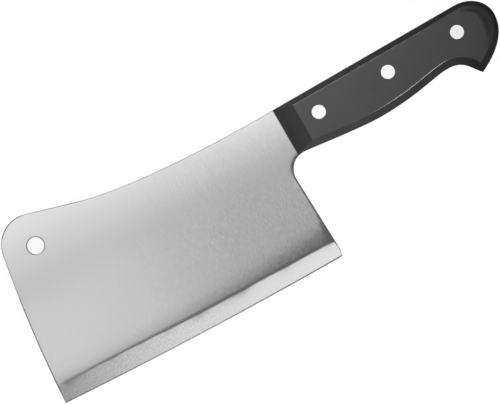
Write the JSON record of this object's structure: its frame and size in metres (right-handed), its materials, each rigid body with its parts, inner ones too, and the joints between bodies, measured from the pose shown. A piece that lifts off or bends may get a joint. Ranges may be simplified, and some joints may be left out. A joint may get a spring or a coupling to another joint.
{
  "type": "meat cleaver",
  "caption": "Meat cleaver with a broad tapered steel blade, hanging hole, ground bevel and full tang between black riveted scales with a finger hook and beaked butt.",
  "frame": {"origin": "under the middle of the bounding box, on the plane of the right scale's flat face, on which the cleaver lies", "axes": "+X along the cutting edge from toe to butt, +Y from cutting edge to spine, +Z out of the left face, across the thickness"},
  "size_m": [0.2998, 0.1014, 0.0185],
  "materials": {
    "blade_steel": "brushed across the blade, from spine to edge",
    "handle_plastic": "satin black",
    "rivet_metal": "ground flush and polished"
  },
  "bodies": {
    "root": {"blade": "blade_steel", "left_scale": "handle_plastic", "right_scale": "handle_plastic", "front_rivet_sleeve": "rivet_metal", "front_rivet_post": "rivet_metal", "middle_rivet_sleeve": "rivet_metal", "middle_rivet_post": "rivet_metal", "rear_rivet_sleeve": "rivet_metal", "rear_rivet_post": "rivet_metal"}
  },
  "joints": []
}
